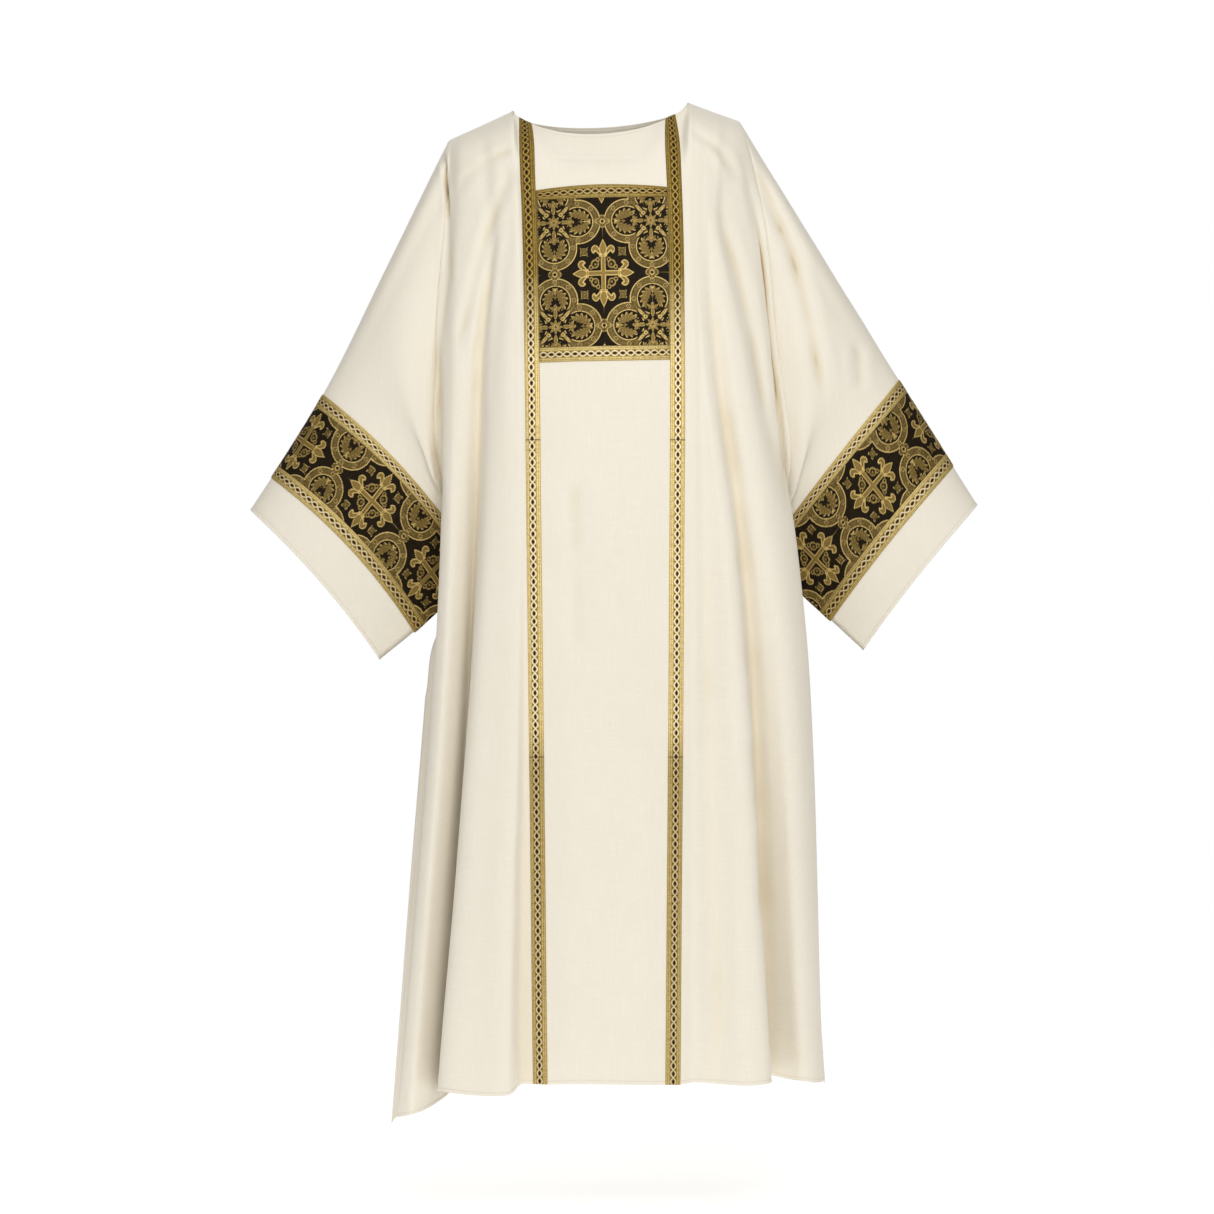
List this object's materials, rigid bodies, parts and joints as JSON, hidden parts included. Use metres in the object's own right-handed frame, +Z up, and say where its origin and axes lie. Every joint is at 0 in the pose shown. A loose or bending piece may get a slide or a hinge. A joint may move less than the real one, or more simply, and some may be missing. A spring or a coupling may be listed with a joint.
{
  "type": "dalmatic",
  "caption": "Wide-sleeved vestment open at the sides, hanging hollow as worn, with upright gold galloons, a brocade chest apparel and brocade sleeve bands.",
  "frame": {"origin": "midway between the two neck points of the shoulder seams, where the wearer's shoulders carry the cloth", "axes": "+Z up along the wearer, -Y out of the front, +X towards the wearer's left"},
  "size_m": [1.001, 0.314, 1.3968],
  "materials": {
    "cream_wool": "matte light worsted wool",
    "gold_galloon": "woven metallic braid",
    "black_gold_brocade": "figured brocade, gold on black"
  },
  "bodies": {
    "root": {"front_panel": "cream_wool", "back_panel": "cream_wool", "sleeve_right": "cream_wool", "sleeve_left": "cream_wool", "clavus_front_right": "gold_galloon", "clavus_front_left": "gold_galloon", "clavus_back_right": "gold_galloon", "clavus_back_left": "gold_galloon", "chest_galloon_upper": "gold_galloon", "chest_galloon_lower": "gold_galloon", "sleeve_galloon_upper_right": "gold_galloon", "sleeve_galloon_upper_left": "gold_galloon", "sleeve_galloon_lower_right": "gold_galloon", "sleeve_galloon_lower_left": "gold_galloon", "chest_apparel": "black_gold_brocade", "sleeve_apparel_right": "black_gold_brocade", "sleeve_apparel_left": "black_gold_brocade"}
  },
  "joints": []
}
